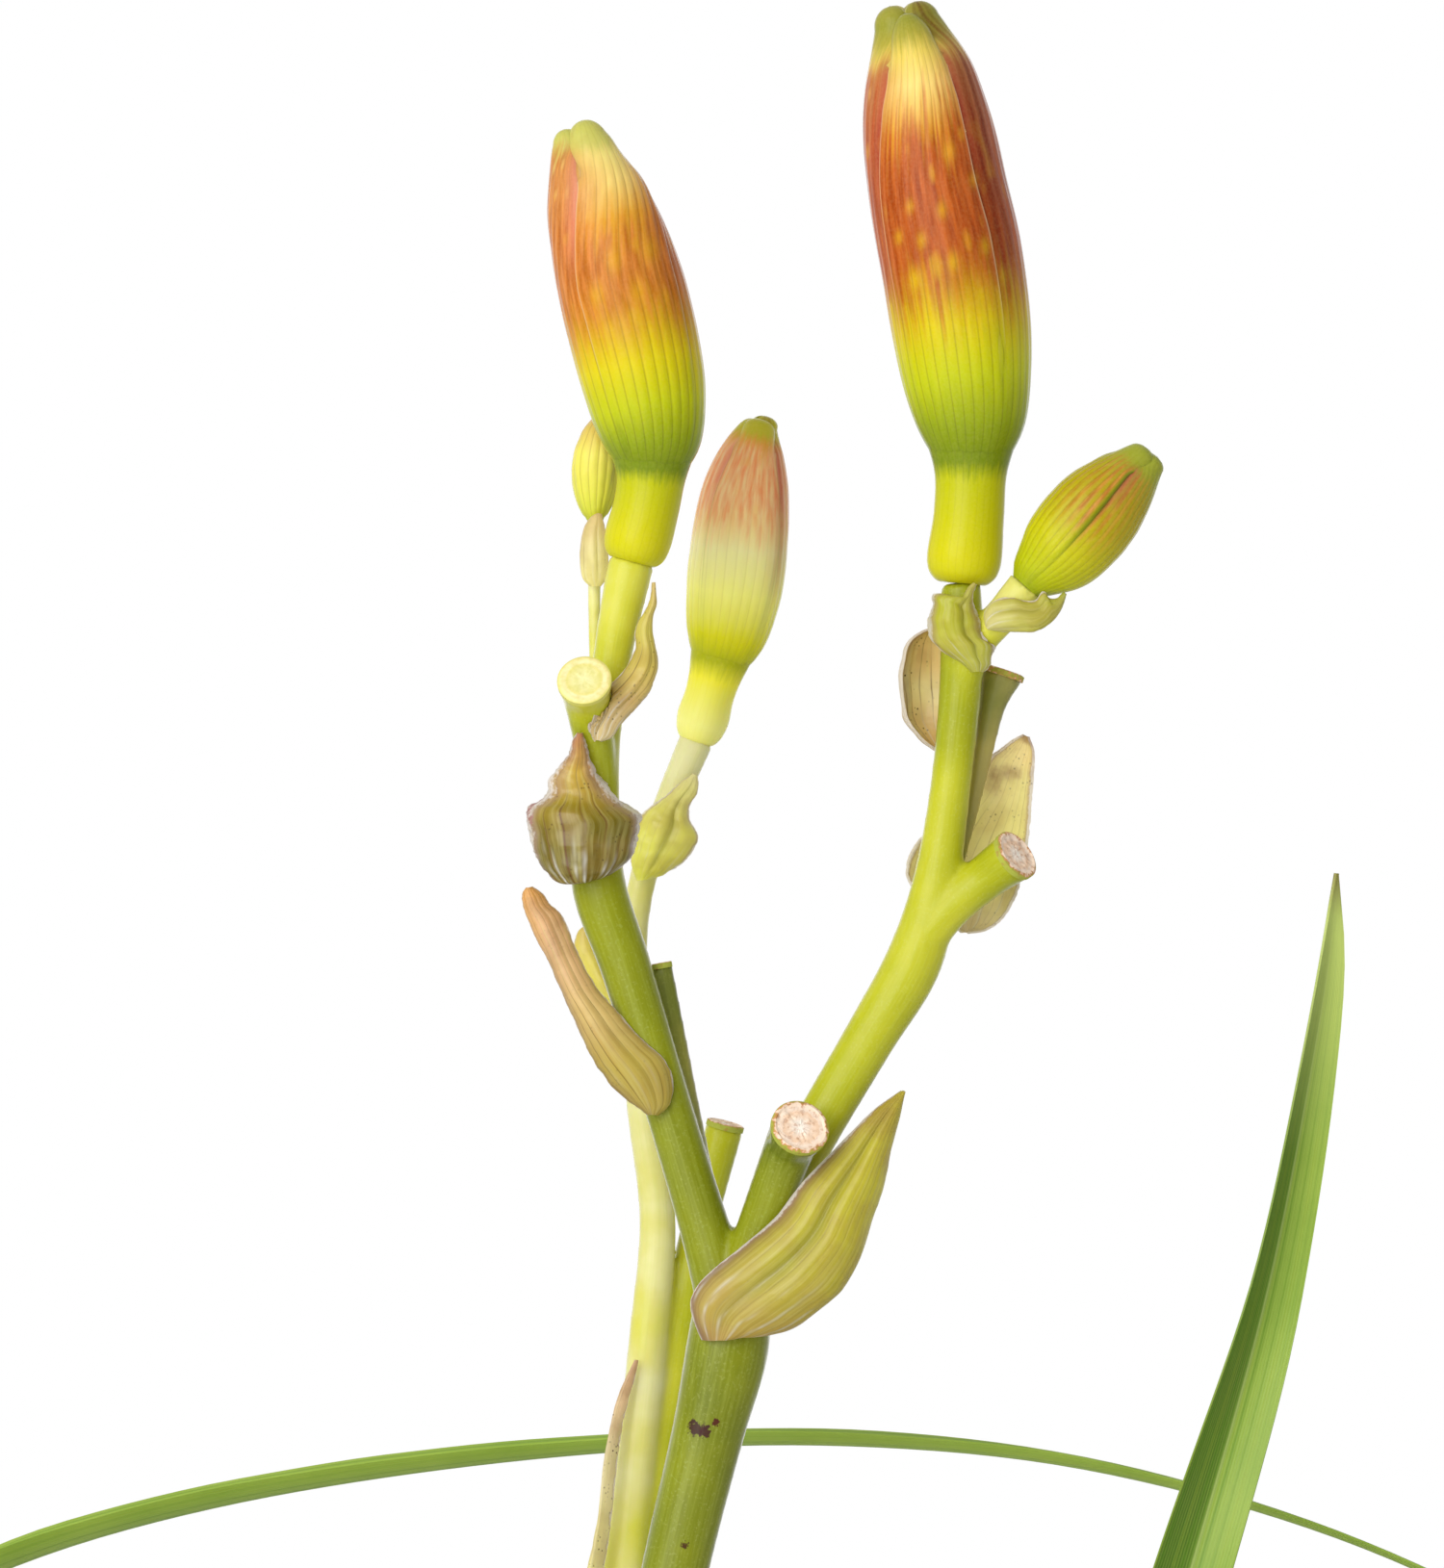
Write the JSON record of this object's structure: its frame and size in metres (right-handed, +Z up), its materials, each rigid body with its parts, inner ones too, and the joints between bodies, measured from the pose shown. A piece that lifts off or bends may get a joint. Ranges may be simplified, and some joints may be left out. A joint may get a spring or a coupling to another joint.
{
  "type": "potted daylily plant in bud",
  "caption": "Daylily plant with forked scapes in bud, papery bracts and arching keeled leaves, standing in a plain clay pot.",
  "frame": {"origin": "centre of the pot's flat underside, in the plane that it stands on", "axes": "+Z up along the plant, +X to the right of the view that shows both forks side by side, +Y away from it"},
  "size_m": [0.5655, 0.4854, 0.6206],
  "materials": {
    "clay": "matte",
    "soil": "matte",
    "crown": "matte",
    "leaf": "satin",
    "scape": "satin",
    "bud": "satin",
    "bract": "matte"
  },
  "bodies": {
    "root": {"pot": "clay", "soil": "soil", "crown_front": "crown", "crown_rear": "crown", "crown_left": "crown", "leaf_front_right_1": "leaf", "leaf_front_right_2": "leaf", "leaf_front_right_3": "leaf", "leaf_front_left_1": "leaf", "leaf_front_left_2": "leaf", "leaf_front_left_3": "leaf", "leaf_rear_right_3": "leaf", "leaf_rear_left_1": "leaf", "leaf_rear_left_2": "leaf", "leaf_left_right_2": "leaf", "leaf_left_right_3": "leaf", "leaf_left_left_1": "leaf", "leaf_left_left_2": "leaf", "leaf_left_left_3": "leaf", "leaf_upright": "leaf", "leaf_arching": "leaf", "scape_front": "scape", "scape_rear": "scape", "bract_fork": "bract", "bract_left_low": "bract", "bract_left_cup": "bract", "bract_left_high": "bract", "bract_small_bud": "bract", "bract_right_cup": "bract", "bract_side_bud": "bract", "bract_right_side": "bract", "bract_right_low": "bract", "bract_rear_low": "bract", "bract_rear_high": "bract", "bract_rear_cup": "bract", "bud_right_large": "bud", "bud_left_large": "bud", "bud_middle": "bud", "bud_right_small": "bud", "bud_left_small": "bud"}
  },
  "joints": []
}
